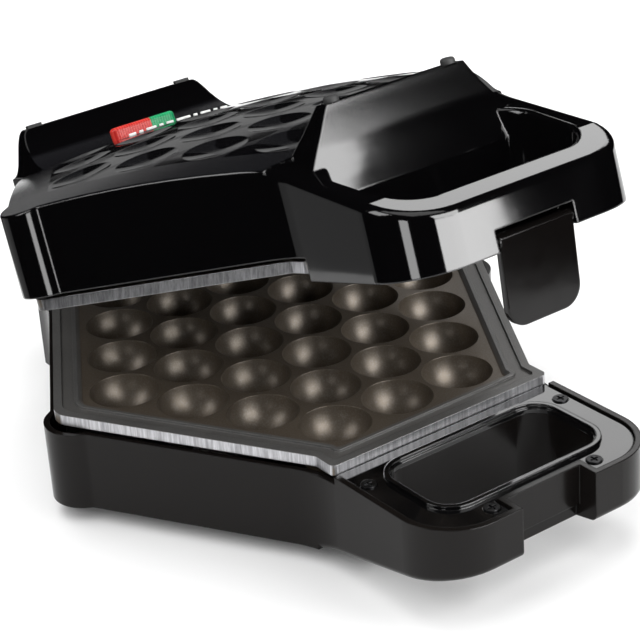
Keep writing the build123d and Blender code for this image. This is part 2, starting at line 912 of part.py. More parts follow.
def latch_house():
    """Side profile of the walls round the latch slot."""
    Polygon(
        (-(handle_front - wall / 2), upper_handle_rim),
        (latch_slot_depth + wall - handle_front, upper_handle_rim),
        (latch_slot_depth + wall - handle_front, latch_slot_top + wall),
        (-(handle_front - wall / 2), latch_slot_top + wall),
        align=None,
    )


def latch_slot():
    Polygon(
        (-handle_front - overrun, upper_handle_rim - overrun),
        (latch_slot_depth - handle_front, upper_handle_rim - overrun),
        (latch_slot_depth - handle_front, latch_slot_top),
        (-handle_front - overrun, latch_slot_top),
        align=None,
    )


def barrel_profile():
    """Side profile of the hinge barrel and the arm that joins it to the rear wall."""
    height = hinge_rise - parting_gap
    Polygon(
        (housing_end - wall / 2, height - knuckle_radius), (hinge_y, height - knuckle_radius),
        (hinge_y, height + knuckle_radius), (housing_end - wall / 2, height + knuckle_radius),
        align=None,
    )
    with Locations((hinge_y, height)):
        Circle(knuckle_radius)


def side_edges(edges):
    """Top edges of the lid's four slanting sides and of its pillars."""
    chosen = []
    for edge in edges:
        start, middle, end = [upper_half.to_local_coords(edge @ share) for share in end_shares]
        upright = (start - end).cross(Vector(0, 0, 1)).length < pick_distance
        if middle.Z > body_rim + overrun and abs(middle.X) > housing_shoulder + body_rim and not upright:
            chosen.append(edge)
    return chosen


# Upper housing: crowned cover, handle, both fins and the hinge barrel
upper_handle = hollow_handle(
    upper_half, upper_handle_rim, upper_knee_height, upper_front_height, upper_opening_draft
)
with BuildPart() as upper_housing:
    with BuildSketch(level(upper_half, body_rim)) as upper_plan:
        body_outline(upper_plan, 0)
    extrude(amount=body_height + dome_rise - body_rim)
    add(dome_shape(0), mode=Mode.INTERSECT)
    with BuildSketch(side_view(upper_half)):
        before_slope()
    extrude(amount=2 * housing_side, both=True, mode=Mode.SUBTRACT)
    fillet(side_edges(upper_housing.edges()), side_edge_radius)
    for x, y in dimple_places():
        with Locations(dimple_location(x, y)):
            Sphere(dimple_ball, mode=Mode.SUBTRACT)
    add(upper_handle)
    add(rear_fin.part)
    add(front_fin.part)
    add(upper_cavity.part, mode=Mode.SUBTRACT)
    with BuildSketch(level(upper_half, body_height - wall)):
        with Locations(*four(post_x, post_y)):
            Circle(seat_boss_radius)
    extrude(amount=dome_height(post_y, top_wall / 2) - dome_drop(post_x) - body_height + wall)
    with BuildSketch(side_view(upper_half)):
        latch_house()
    extrude(amount=ear_half_width, both=True)
    with BuildSketch(side_view(upper_half)):
        latch_slot()
    extrude(amount=slot_half_width, both=True, mode=Mode.SUBTRACT)
    with BuildSketch(side_view(upper_half)):
        with Locations((pivot_y, latch_pivot_height)):
            Circle(latch_pin_radius + press_gap)
    extrude(amount=ear_half_width + overrun, both=True, mode=Mode.SUBTRACT)
    with BuildSketch(side_view(upper_half)):
        barrel_profile()
    extrude(amount=tower_inner_x - knuckle_side_gap, both=True)
    with BuildSketch(side_view(upper_half, tower_inner_x)):
        with Locations((hinge_y, hinge_rise - parting_gap)):
            Circle(hinge_pin_radius + running_gap)
    extrude(amount=-hinge_pin_grip - overrun, mode=Mode.SUBTRACT)
    with BuildSketch(side_view(upper_half, -tower_inner_x)):
        with Locations((hinge_y, hinge_rise - parting_gap)):
            Circle(hinge_pin_radius + running_gap)
    extrude(amount=hinge_pin_grip + overrun, mode=Mode.SUBTRACT)
    with BuildSketch(lens_plane.offset(-top_wall / 2)):
        with Locations(*[(side * lug_x, 0) for side in sides]):
            Circle(lug_radius)
    extrude(amount=top_wall / 2 - lamp_level)
    with BuildSketch(lens_plane.offset(-lamp_level)):
        with Locations(*[(side * lug_x, 0) for side in sides]):
            Circle(lamp_screw_radius + press_gap)
    extrude(amount=lamp_screw_length, mode=Mode.SUBTRACT)
    with BuildSketch(lens_plane):
        SlotOverall(lens_length + 2 * lens_gap, 2 * (lens_half_width + lens_gap))
    extrude(amount=2 * top_wall, both=True, mode=Mode.SUBTRACT)
    with BuildSketch(level(upper_half, front_fin_height)):
        with Locations(*[(side * front_fin_foot_x, front_pad_y) for side in sides]):
            Circle(fin_foot_stem_radius + press_gap)
    extrude(amount=-fin_foot_stem_length, mode=Mode.SUBTRACT)
    with BuildSketch(level(upper_half, rear_fin_height)):
        with Locations(*[(side * rear_fin_foot_x, rear_pad_y) for side in sides]):
            Rectangle(rear_fin_foot_length + 2 * foot_gap, rear_fin_thickness / 2 + 2 * foot_gap)
    extrude(amount=-fin_foot_seat, mode=Mode.SUBTRACT)
    cut_tongue_windows(upper_half, upper_handle_rim)
finish(upper_housing, "upper_housing")
upper_plate = build_plate(upper_half, upper_handle_rim)
finish(upper_plate, "upper_plate")


def build_cover(half, rim, notch_back):
    """Ring that closes a handle's trough, with a raised lip round its opening."""
    bed = rim + cover_drop
    with BuildPart() as cover:
        with BuildSketch(level(half, bed)) as ring:
            handle_outline(wall + cover_gap, plate_end + cover_gap)
            opening = opening_sketch(0)
            add(opening, mode=Mode.SUBTRACT)
            with Locations((0, -handle_front)):
                notch = 2 * (ear_half_width + cover_gap)
                Rectangle(notch, 2 * (handle_front - notch_back), mode=Mode.SUBTRACT)
        extrude(amount=cover_thickness)
        with BuildSketch(level(half, bed)):
            add(opening_sketch(cover_lip_gap + cover_lip_width))
            add(opening_sketch(cover_lip_gap), mode=Mode.SUBTRACT)
        extrude(amount=-cover_lip_height)
        with BuildSketch(level(half, bed)):
            with Locations(*cover_screw_places()):
                Circle(screw_shank_radius + screw_gap)
        extrude(amount=cover_thickness, mode=Mode.SUBTRACT)
        with BuildSketch(level(half, bed)):
            with Locations(*cover_screw_places()):
                Circle(screw_head_radius + screw_gap)
        extrude(amount=cover_thickness / 2, mode=Mode.SUBTRACT)
    return cover


def opening_sketch(grow):
    with BuildSketch() as mouth:
        opening_outline(grow)
    return mouth.sketch


def build_screws(half, seat, places, head_radius, head_height, shank_radius, shank_length):
    """Cross-head screws whose heads sit on a level and stand towards the meeting face."""
    with BuildPart() as screws:
        with BuildSketch(level(half, seat)):
            with Locations(*places):
                Circle(head_radius)
        extrude(amount=-head_height)
        with BuildSketch(level(half, seat)):
            with Locations(*places):
                Circle(shank_radius)
        extrude(amount=shank_length)
        with BuildSketch(level(half, seat - head_height)):
            with Locations(*places):
                Rectangle(cross_length, cross_width)
                Rectangle(cross_width, cross_length)
        extrude(amount=cross_depth, mode=Mode.SUBTRACT)
    return screws


def tail_place():
    """Sideways and rearward place where each end of the loop starts to run straight."""
    middle = polar(element_loop_radius + element_bend_radius, 90 - element_terminal_angle)
    return (middle[0] - element_bend_radius, middle[1])


def build_element(half):
    """Tubular heating loop with both ends turned to the rear and their connecting pins."""
    plane = level(half, element_level)
    across, back = tail_place()
    end = back + element_tail_length
    turn = 90 - element_terminal_angle
    with BuildPart() as element:
        with BuildLine(plane):
            Line((across, end), (across, back))
            CenterArc((across + element_bend_radius, back), element_bend_radius, 180, turn)
            CenterArc((0, 0), element_loop_radius, 180 - turn, 180 + 2 * turn)
            CenterArc((-across - element_bend_radius, back), element_bend_radius, -turn, turn)
            Line((-across, back), (-across, end))
        with BuildSketch(front_view(plane, end)):
            with Locations((across, 0)):
                Circle(element_tube_radius)
        sweep()
        with BuildSketch(front_view(plane, end)):
            with GridLocations(2 * across, 0, 2, 1):
                Circle(element_pin_radius)
        extrude(amount=-element_pin_length)
    return element


def build_straps(half):
    """Four arched straps that hold the heating loop against the cups."""
    with BuildPart() as straps:
        for angle in strap_places():
            outward = half.x_dir * cos(radians(angle)) + half.y_dir * sin(radians(angle))
            middle = half.from_local_coords((*polar(element_loop_radius, angle), 0))
            along = Plane(origin=middle, x_dir=outward, z_dir=outward.cross(half.z_dir))
            arch = element_tube_radius + strap_gap
            foot = pad_spacing + pad_radius
            with BuildSketch(along):
                with Locations((0, boss_level + strap_thickness / 2)):
                    Rectangle(2 * foot, strap_thickness)
                with Locations((0, element_level)):
                    Circle(arch + strap_thickness)
                with Locations((0, (boss_level + element_level) / 2)):
                    Rectangle(2 * (arch + strap_thickness), element_level - boss_level)
                with Locations((0, element_level)):
                    Circle(arch, mode=Mode.SUBTRACT)
                with Locations((0, (boss_level + element_level) / 2 - arch)):
                    Rectangle(2 * arch, element_level - boss_level + 2 * arch, mode=Mode.SUBTRACT)
                with Locations((0, boss_level - arch)):
                    Rectangle(3 * foot, 2 * arch, mode=Mode.SUBTRACT)
            extrude(amount=strap_width / 2, both=True)
        with BuildSketch(level(half, boss_level)):
            with Locations(*strap_pad_places()):
                Circle(strap_screw_radius + press_gap)
        extrude(amount=strap_thickness, mode=Mode.SUBTRACT)
    return straps


def build_strap_screws(half):
    seat = boss_level + strap_thickness
    with BuildPart() as screws:
        with BuildSketch(level(half, seat)):
            with Locations(*strap_pad_places()):
                Circle(strap_screw_head_radius)
        extrude(amount=strap_screw_head_height)
        with BuildSketch(level(half, seat)):
            with Locations(*strap_pad_places()):
                Circle(strap_screw_radius)
        extrude(amount=-strap_screw_length)
    return screws


def build_reflector(half):
    """Thin pan behind the heating loop, with a rim towards the plate and a cut-out for the leads."""
    inset = wall + reflector_clearance
    with BuildPart() as reflector:
        with BuildSketch(level(half, post_shoulder)) as pan:
            body_outline(pan, inset)
        extrude(amount=reflector_thickness)
        with BuildSketch(level(half, post_shoulder)) as rim:
            body_outline(rim, inset)
            with BuildSketch(mode=Mode.PRIVATE) as inner:
                body_outline(inner, inset + reflector_thickness)
            add(inner.sketch, mode=Mode.SUBTRACT)
        extrude(amount=-reflector_rim)
        with BuildSketch(level(half, post_shoulder - reflector_rim)):
            with Locations(*four(post_x, post_y)):
                Circle(post_neck_radius + reflector_hole_gap)
            with Locations((0, (reflector_notch_reach + housing_end) / 2)):
                Rectangle(2 * reflector_notch_half_width, housing_end - reflector_notch_reach)
        extrude(amount=reflector_rim + reflector_thickness, mode=Mode.SUBTRACT)
    return reflector


def build_washers(half):
    """Push-on washers that hold the reflector on the plate's posts."""
    with BuildPart() as washers:
        with BuildSketch(level(half, post_shoulder + reflector_thickness)):
            with Locations(*four(post_x, post_y)):
                Circle(washer_radius)
                Circle(post_neck_radius + washer_gap, mode=Mode.SUBTRACT)
        extrude(amount=washer_thickness)
    return washers


def build_thermostat(half):
    """Disc thermostat on its pad, with a tab at each side."""
    with BuildPart() as thermostat:
        with BuildSketch(level(half, boss_level)):
            with Locations((thermostat_x, thermostat_y)):
                Circle(pad_radius)
        extrude(amount=thermostat_flange)
        with BuildSketch(level(half, boss_level + thermostat_flange)):
            with Locations((thermostat_x, thermostat_y)):
                Circle(thermostat_radius)
        extrude(amount=thermostat_height)
        with BuildSketch(level(half, boss_level + thermostat_height)):
            with Locations((thermostat_x, thermostat_y)):
                Rectangle(2 * (thermostat_radius + thermostat_tab), thermostat_tab)
        extrude(amount=thermostat_flange)
    return thermostat


def build_leads(half, turns):
    """Short wires from the loop's pins to the part that they feed."""
    across, back = tail_place()
    tip = back + element_tail_length + element_pin_length
    with BuildPart() as leads:
        for side in sides:
            plane = side_view(half, side * across)
            with BuildLine(plane):
                FilletPolyline((tip, element_level), *turns, radius=lead_bend)
            with BuildSketch(front_view(half, tip)):
                with Locations((side * across, element_level)):
                    Circle(lead_radius)
            sweep()
    return leads


for half, rim, side_name in (
    (lower_half, lower_handle_rim, "lower"), (upper_half, upper_handle_rim, "upper"),
):
    notch = -(catch_back + wall) - cover_gap
    if side_name == "upper":
        notch = handle_front - latch_slot_depth - wall - cover_gap
    finish(build_cover(half, rim, notch), side_name + "_handle_cover")
    cover_screws = build_screws(
        half, rim + cover_drop + cover_thickness / 2, cover_screw_places(),
        screw_head_radius, screw_head_height, screw_shank_radius, screw_shank_length - screw_gap,
    )
    finish(cover_screws, side_name + "_cover_screws")
    finish(build_element(half), side_name + "_heating_element")
    finish(build_straps(half), side_name + "_element_straps")
    finish(build_strap_screws(half), side_name + "_strap_screws")
    finish(build_reflector(half), side_name + "_heat_reflector")
    finish(build_washers(half), side_name + "_reflector_washers")
    finish(build_thermostat(half), side_name + "_thermostat")


# Leads: the lower pair drops to the terminal block, the upper pair reaches the lamp holder
lead_y = tail_place()[1] + element_tail_length + element_pin_length + lead_run
terminal_top = element_level + terminal_drop
lower_leads = build_leads(lower_half, [(lead_y, element_level), (lead_y, terminal_top)])
finish(lower_leads, "lower_leads")
holder_edge = Vector(lens_back, dome_height(lens_back)) - Vector(
    lamp_level * sin(lens_tilt) - lamp_holder_width / 2 * cos(lens_tilt),
    lamp_level * cos(lens_tilt) + lamp_holder_width / 2 * sin(lens_tilt),
)
upper_leads = build_leads(upper_half, [
    (lead_y, element_level), (lead_y, holder_edge.Y), (holder_edge.X + lead_end_gap, holder_edge.Y),
])
finish(upper_leads, "upper_leads")


def build_lens(start, end, name):
    """One half of the split lamp window, with its flange and legs."""
    middle = (start + end) / 2
    with BuildPart() as lens:
        with BuildSketch(lens_plane.offset(-lens_depth)):
            SlotOverall(lens_length, 2 * lens_half_width)
        extrude(amount=lens_depth + lens_proud)
        crown = lens.faces().sort_by(Axis(lens_centre, lens_normal))[-1]
        fillet(crown.edges(), lens_edge_radius)
        with BuildSketch(lens_plane.offset(-lens_depth)):
            SlotOverall(lens_length + 2 * lens_flange, 2 * (lens_half_width + lens_flange))
        extrude(amount=lens_depth + lens_flange_level)
        with BuildSketch(lens_plane.offset(-lens_depth)):
            with Locations((start + lens_leg_in, 0), (end - lens_leg_in, 0)):
                Circle(lens_leg_radius)
        extrude(amount=lens_depth - lamp_level)
        with BuildSketch(lens_plane.offset(-lamp_level)):
            with Locations((middle, 0)):
                Rectangle(end - start, lens_length)
        extrude(amount=2 * lamp_level, mode=Mode.INTERSECT)
    finish(lens, name)


build_lens(-lens_length / 2, lens_split, "red_lens")
build_lens(lens_split, lens_length / 2, "green_lens")

# Two small lamps that lie on their holder under the lenses
with BuildPart() as indicator_lamps:
    for middle in ((lens_split - lens_length / 2) / 2, (lens_split + lens_length / 2) / 2):
        lamp_end = lens_plane.from_local_coords((middle - lamp_length / 2, 0, lamp_radius - lamp_level))
        with BuildSketch(Plane(origin=lamp_end, x_dir=lens_plane.y_dir, z_dir=lens_plane.x_dir)):
            Circle(lamp_radius)
        extrude(amount=lamp_length)
finish(indicator_lamps, "indicator_lamps")

# Holder under the lamps, screwed to the two lugs
with BuildPart() as lamp_holder:
    with BuildSketch(lens_plane.offset(-lamp_level)):
        Rectangle(lamp_holder_length, lamp_holder_width)
        with Locations(*[(side * lug_x, 0) for side in sides]):
            Circle(lamp_screw_radius + screw_gap, mode=Mode.SUBTRACT)
    extrude(amount=-lamp_holder_thickness)
finish(lamp_holder, "lamp_holder")

with BuildPart() as lamp_screws:
    with BuildSketch(lens_plane.offset(-lamp_level - lamp_holder_thickness)):
        with Locations(*[(side * lug_x, 0) for side in sides]):
            Circle(lamp_screw_head_radius)
    extrude(amount=-lamp_screw_head)
    with BuildSketch(lens_plane.offset(-lamp_level - lamp_holder_thickness)):
        with Locations(*[(side * lug_x, 0) for side in sides]):
            Circle(lamp_screw_radius)
    extrude(amount=lamp_screw_length)
finish(lamp_screws, "lamp_screws")

# Latch flap, hanging from its pin in the upper handle and leaning a little inward
latch_lean = radians(latch_rest_lean)
latch_up = upper_half.z_dir * cos(latch_lean) - upper_half.y_dir * sin(latch_lean)
latch_pivot = upper_half.from_local_coords((0, pivot_y, latch_pivot_height))
latch_plane = Plane(origin=latch_pivot, x_dir=upper_half.x_dir, z_dir=latch_up)
hook_length = latch_hook_reach + catch_gap
hook_slope = tan(radians(latch_hook_lean))
hook_top = -((catch_depth + latch_hook_play) / cos(radians(latch_hook_lean)) + hook_length * hook_slope)

with BuildPart() as latch:
    with BuildSketch(front_view(latch_plane)) as flap:
        with Locations((0, latch_head - latch_length / 2)):
            Rectangle(2 * latch_half_width, latch_length)
        fillet(flap.vertices().sort_by(Axis(latch_pivot, latch_up))[:2], latch_corner_radius)
    extrude(amount=latch_thickness)
    outer = latch.faces().sort_by(Axis(latch_pivot, latch_plane.y_dir))[0]
    fillet(outer.edges(), latch_edge_radius)
    with BuildSketch(side_view(latch_plane)):
        Circle(latch_thickness)
    extrude(amount=latch_half_width, both=True)
    with BuildSketch(side_view(latch_plane)):
        Polygon(
            (-latch_thickness / 2, hook_top), (hook_length, hook_top),
            (hook_length, hook_top - latch_hook_height / 3),
            (0, hook_top - latch_hook_height), (-latch_thickness / 2, hook_top - latch_hook_height),
            align=None,
        )
    extrude(amount=latch_hook_half_width, both=True)
    with BuildSketch(side_view(latch_plane)):
        Circle(latch_pin_radius + running_gap)
    extrude(amount=2 * latch_half_width, both=True, mode=Mode.SUBTRACT)
finish(latch, "latch")

with BuildPart() as latch_pin:
    with BuildSketch(side_view(upper_half)):
        with Locations((pivot_y, latch_pivot_height)):
            Circle(latch_pin_radius)
    extrude(amount=ear_half_width - latch_pin_set, both=True)
finish(latch_pin, "latch_pin")

# Two hinge pins, pushed in from the outside of the towers
with BuildPart() as hinge_pins:
    outer_face = tower_inner_x + tower_width
    for side in sides:
        turned = Plane(
            origin=hinge_centre.from_local_coords((side * outer_face, 0, 0)),
            x_dir=(0, 1, 0), z_dir=(side, 0, 0),
        )
        with BuildSketch(turned):
            Circle(hinge_pin_head_radius)
        extrude(amount=hinge_pin_head)
        with BuildSketch(turned):
            Circle(hinge_pin_radius)
        extrude(amount=-(outer_face - tower_inner_x + knuckle_side_gap + hinge_pin_grip))
finish(hinge_pins, "hinge_pins")

# Feet under the base
with BuildPart() as rubber_feet:
    with BuildSketch(level(lower_half, body_height - foot_seat_depth)):
        with Locations(*four(foot_x, foot_y)):
            Circle(foot_radius)
    extrude(amount=foot_height + foot_seat_depth)
    treads = rubber_feet.edges().filter_by(GeomType.CIRCLE).group_by(Axis.Z)[0]
    fillet(treads, foot_edge_radius)
finish(rubber_feet, "rubber_feet")

# Pads on both fins, for the lid when it lies open
with BuildPart() as rear_fin_feet:
    with BuildSketch(level(upper_half, rear_fin_height - fin_foot_seat)):
        with Locations(*[(side * rear_fin_foot_x, rear_pad_y) for side in sides]):
            Rectangle(rear_fin_foot_length, rear_fin_thickness / 2)
    extrude(amount=fin_foot_height)
finish(rear_fin_feet, "rear_fin_feet")

with BuildPart() as front_fin_feet:
    with BuildSketch(level(upper_half, front_fin_height)):
        with Locations(*[(side * front_fin_foot_x, front_pad_y) for side in sides]):
            Circle(fin_foot_radius)
    extrude(amount=fin_foot_height)
    crowns = front_fin_feet.edges().filter_by(GeomType.CIRCLE).group_by(Axis(lid_origin, lid_up))[-1]
    fillet(crowns, fin_foot_edge_radius)
    with BuildSketch(level(upper_half, front_fin_height)):
        with Locations(*[(side * front_fin_foot_x, front_pad_y) for side in sides]):
            Circle(fin_foot_stem_radius)
    extrude(amount=press_gap - fin_foot_stem_length)
finish(front_fin_feet, "front_fin_feet")

# Terminal block on the base's floor and its clamping screws
with BuildPart() as terminal_block:
    with BuildSketch(level(lower_half, terminal_top)):
        with Locations((0, terminal_y)):
            Rectangle(terminal_length, terminal_width)
    extrude(amount=body_height - wall - terminal_top)
finish(terminal_block, "terminal_block")

with BuildPart() as terminal_screws:
    with BuildSketch(level(lower_half, terminal_top)):
        with Locations((0, terminal_screw_y)):
            with GridLocations(terminal_screw_pitch, 0, terminal_screw_count, 1):
                Circle(terminal_screw_radius)
    extrude(amount=-terminal_screw_head)
finish(terminal_screws, "terminal_screws")

# Bushing in the rear wall that a cord passes through
with BuildPart() as cord_gland:
    with BuildSketch(front_view(lower_half, housing_end + gland_flange)):
        with Locations((0, gland_height)):
            Circle(gland_flange_radius)
    extrude(amount=gland_flange)
    with BuildSketch(front_view(lower_half, housing_end)):
        with Locations((0, gland_height)):
            Circle(gland_hole_radius - gland_gap)
    extrude(amount=wall)
    with BuildSketch(front_view(lower_half, housing_end - wall)):
        with Locations((0, gland_height)):
            Circle(gland_clip_radius)
    extrude(amount=gland_flange)
    with BuildSketch(front_view(lower_half, housing_end + 2 * gland_flange)):
        with Locations((0, gland_height)):
            Circle(gland_bore_radius)
    extrude(amount=wall + 4 * gland_flange, mode=Mode.SUBTRACT)
finish(cord_gland, "cord_gland")

# Thermal fuse in its sleeve, clipped to the lower reflector
sleeve_radius = fuse_radius + fuse_gap + fuse_sleeve_wall
fuse_seat = post_shoulder + reflector_thickness
fuse_plane = Plane(
    origin=lower_half.from_local_coords((0, fuse_y, fuse_seat + sleeve_radius)),
    x_dir=lower_half.y_dir, z_dir=lower_half.x_dir,
)
with BuildPart() as thermal_fuse:
    with BuildSketch(fuse_plane):
        Circle(fuse_radius)
    extrude(amount=fuse_length / 2, both=True)
    with BuildSketch(fuse_plane):
        Circle(fuse_wire_radius)
    extrude(amount=fuse_length / 2 + fuse_wire_length, both=True)
finish(thermal_fuse, "thermal_fuse")

with BuildPart() as fuse_sleeve:
    with BuildSketch(fuse_plane):
        Circle(sleeve_radius)
        Circle(fuse_radius + fuse_gap, mode=Mode.SUBTRACT)
    extrude(amount=fuse_sleeve_length / 2, both=True)
finish(fuse_sleeve, "fuse_sleeve")

with BuildPart() as fuse_clip:
    arch = sleeve_radius + fuse_gap
    with BuildSketch(fuse_plane):
        Circle(arch + fuse_clip_thickness)
        with Locations((0, -sleeve_radius / 2)):
            Rectangle(2 * (arch + fuse_clip_thickness), sleeve_radius)
        with Locations((0, fuse_clip_thickness / 2 - sleeve_radius)):
            Rectangle(2 * fuse_clip_foot, fuse_clip_thickness)
        Circle(arch, mode=Mode.SUBTRACT)
        with Locations((0, -arch)):
            Rectangle(2 * arch, 2 * arch, mode=Mode.SUBTRACT)
        with Locations((0, -sleeve_radius - arch)):
            Rectangle(3 * fuse_clip_foot, 2 * arch, mode=Mode.SUBTRACT)
    extrude(amount=fuse_clip_width / 2, both=True)
finish(fuse_clip, "fuse_clip")
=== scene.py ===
"""Looks of a bubble waffle maker: camera, light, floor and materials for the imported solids."""
from math import cos, pi, radians, sin, tan

import bmesh
import bpy
from mathutils import Matrix, Vector
from mathutils.bvhtree import BVHTree


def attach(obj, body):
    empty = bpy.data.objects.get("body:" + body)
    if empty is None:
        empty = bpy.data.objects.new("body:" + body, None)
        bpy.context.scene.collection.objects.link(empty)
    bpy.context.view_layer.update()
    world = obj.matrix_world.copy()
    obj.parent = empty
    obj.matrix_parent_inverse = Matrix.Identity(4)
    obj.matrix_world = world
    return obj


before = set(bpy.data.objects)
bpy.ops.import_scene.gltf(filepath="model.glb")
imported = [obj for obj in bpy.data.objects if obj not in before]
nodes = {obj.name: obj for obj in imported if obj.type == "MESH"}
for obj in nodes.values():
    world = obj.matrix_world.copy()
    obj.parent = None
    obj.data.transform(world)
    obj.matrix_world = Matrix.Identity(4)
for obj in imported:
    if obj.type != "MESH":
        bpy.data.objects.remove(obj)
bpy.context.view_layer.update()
scene = bpy.context.scene

# Camera: the photograph's viewing angle, found from the plate's cups
CAMERA = Vector((-0.4347, -0.6393, 0.4362))
FORWARD = Vector((0.514, 0.733, -0.445)).normalized()
UP_HINT = Vector((0.312, 0.323, 0.893))
FOCAL_PIXELS = 2121.3
IMAGE_PIXELS = 640
SENSOR = 36.0
CLIP_START = 0.01
CLIP_END = 20.0

camera_data = bpy.data.cameras.new("camera")
camera = bpy.data.objects.new("camera", camera_data)
scene.collection.objects.link(camera)
right = FORWARD.cross(UP_HINT).normalized()
up = right.cross(FORWARD)
turn = Matrix((right, up, -FORWARD)).transposed().to_4x4()
camera.matrix_world = Matrix.Translation(CAMERA) @ turn
camera_data.sensor_fit = "HORIZONTAL"
camera_data.sensor_width = SENSOR
camera_data.lens = SENSOR * FOCAL_PIXELS / IMAGE_PIXELS
camera_data.clip_start = CLIP_START
camera_data.clip_end = CLIP_END
scene.camera = camera

# Places of the two halves, from the solids' own sizes: the middle of the plates' meeting faces
BASE_ORIGIN = Vector((0.0, 0.0105, 0.046))
HINGE = Vector((0.0, 0.15054, 0.064))
HINGE_REACH = 0.14004
HINGE_RISE = 0.018
PLATE_GAP = 0.0006
LID_ANGLE = radians(17.5)
LID_UP = Vector((0.0, sin(LID_ANGLE), cos(LID_ANGLE)))
LID_BACK = Vector((0.0, cos(LID_ANGLE), -sin(LID_ANGLE)))
LID_ORIGIN = HINGE - LID_BACK * HINGE_REACH + LID_UP * (PLATE_GAP - HINGE_RISE)

# Sockets of the colour mixing node, several of which share a name
MIX_FACTOR = 0
MIX_FIRST = 6
MIX_SECOND = 7
MIX_RESULT = 2
BEVEL_SAMPLES = 6


class Nodes:
    """Short hand for building one node material."""

    SOCKETS = {
        "color": "Base Color", "metallic": "Metallic", "roughness": "Roughness",
        "specular": "Specular IOR Level", "transmission": "Transmission Weight", "ior": "IOR",
        "emission": "Emission Color", "glow": "Emission Strength",
    }

    def __init__(self, name):
        self.material = bpy.data.materials.new(name)
        self.material.use_nodes = True
        self.tree = self.material.node_tree
        self.shader = self.tree.nodes["Principled BSDF"]

    def new(self, kind, **values):
        node = self.tree.nodes.new(kind)
        for key, value in values.items():
            setattr(node, key, value)
        return node

    def link(self, source, target):
        self.tree.links.new(source, target)

    def feed(self, value, socket):
        """Set a socket to a number or a colour, or link another node's output to it."""
        if isinstance(value, tuple):
            socket.default_value = (*value, 1.0)
        elif isinstance(value, (int, float)):
            socket.default_value = value
        else:
            self.link(value, socket)

    def math(self, operation, *values):
        node = self.new("ShaderNodeMath", operation=operation)
        for value, socket in zip(values, node.inputs):
            self.feed(value, socket)
        return node.outputs[0]

    def times(self, first, *others):
        for other in others:
            first = self.math("MULTIPLY", first, other)
        return first

    def spread(self, value, scale, base):
        """A pattern's value, scaled and raised."""
        return self.math("MULTIPLY_ADD", value, scale, base)

    def ramp(self, value, low, high, falling=False, smooth=True):
        """Zero below one value and one above another, or the other way round."""
        node = self.new("ShaderNodeMapRange")
        node.interpolation_type = "SMOOTHSTEP" if smooth else "LINEAR"
        self.feed(value, node.inputs["Value"])
        node.inputs["From Min"].default_value = low
        node.inputs["From Max"].default_value = high
        node.inputs["To Min"].default_value = 1.0 if falling else 0.0
        node.inputs["To Max"].default_value = 0.0 if falling else 1.0
        return node.outputs["Result"]

    def step(self, value, limits, falling=False):
        """A short straight ramp between two limits."""
        return self.ramp(value, *limits, falling=falling, smooth=False)

    def place(self):
        return self.new("ShaderNodeTexCoord").outputs["Object"]

    def normal(self):
        return self.new("ShaderNodeTexCoord").outputs["Normal"]

    def along(self, vector, direction, origin=None):
        """Distance of a place along a direction, from an origin."""
        node = self.new("ShaderNodeVectorMath", operation="DOT_PRODUCT")
        self.link(vector, node.inputs[0])
        node.inputs[1].default_value = direction
        result = node.outputs["Value"]
        if origin is not None:
            result = self.math("SUBTRACT", result, Vector(direction).dot(origin))
        return result

    def noise(self, scale, detail=2.0, rough=0.5, stretch=None):
        node = self.new("ShaderNodeTexNoise")
        node.inputs["Scale"].default_value = scale
        node.inputs["Detail"].default_value = detail
        node.inputs["Roughness"].default_value = rough
        source = self.place()
        if stretch is not None:
            mapping = self.new("ShaderNodeMapping")
            mapping.inputs["Scale"].default_value = stretch
            self.link(source, mapping.inputs["Vector"])
            source = mapping.outputs["Vector"]
        self.link(source, node.inputs["Vector"])
        return node.outputs["Fac"]

    def haze(self):
        """Soft clouds of finger haze."""
        return self.ramp(self.noise(28.0, 4.0, 0.6), 0.35, 0.7)

    def mix(self, factor, first, second):
        """Colour between two colours."""
        node = self.new("ShaderNodeMix", data_type="RGBA")
        self.feed(factor, node.inputs[MIX_FACTOR])
        self.feed(first, node.inputs[MIX_FIRST])
        self.feed(second, node.inputs[MIX_SECOND])
        return node.outputs[MIX_RESULT]

    def bump(self, height, strength, distance, rounded):
        """Surface unevenness, and edges that look rounded by a radius."""
        bevel = self.new("ShaderNodeBevel", samples=BEVEL_SAMPLES)
        bevel.inputs["Radius"].default_value = rounded
        node = self.new("ShaderNodeBump")
        node.inputs["Strength"].default_value = strength
        node.inputs["Distance"].default_value = distance
        self.feed(height, node.inputs["Height"])
        self.link(bevel.outputs["Normal"], node.inputs["Normal"])
        self.link(node.outputs["Normal"], self.shader.inputs["Normal"])

    def set(self, **values):
        for key, value in values.items():
            self.feed(value, self.shader.inputs[self.SOCKETS[key]])


def black_plastic(name, roughness, spread, rounded, color=(0.0022, 0.0021, 0.0023), specular=0.5):
    """Moulded black plastic: a faint unevenness, finger haze and softened edges."""
    n = Nodes(name)
    fine = n.ramp(n.noise(240.0, 3.0, 0.6), 0.3, 0.7)
    mixed = n.spread(fine, 0.35, n.haze())
    n.set(color=color, roughness=n.spread(mixed, spread, roughness), specular=specular)
    n.bump(n.noise(55.0, 2.0, 0.45), 0.06, 0.0008, rounded)
    return n.material


def half_places(n, upper):
    """Sideways, rearward and outward distance of a place within a half."""
    place = n.place()
    if upper:
        origin, back, outward = LID_ORIGIN, LID_BACK, LID_UP
    else:
        origin, back, outward = BASE_ORIGIN, (0, 1, 0), (0, 0, -1)
    return n.along(place, (1, 0, 0)), n.along(place, back, origin), n.along(place, outward, origin)


# Outline of a plate: slanted sides, a flat end at front and back, and a block at each end
PLATE_SIDE = 0.09295
PLATE_END = 0.10594
PLATE_SHOULDER = 0.0522
PLATE_SLANT = pi / 6
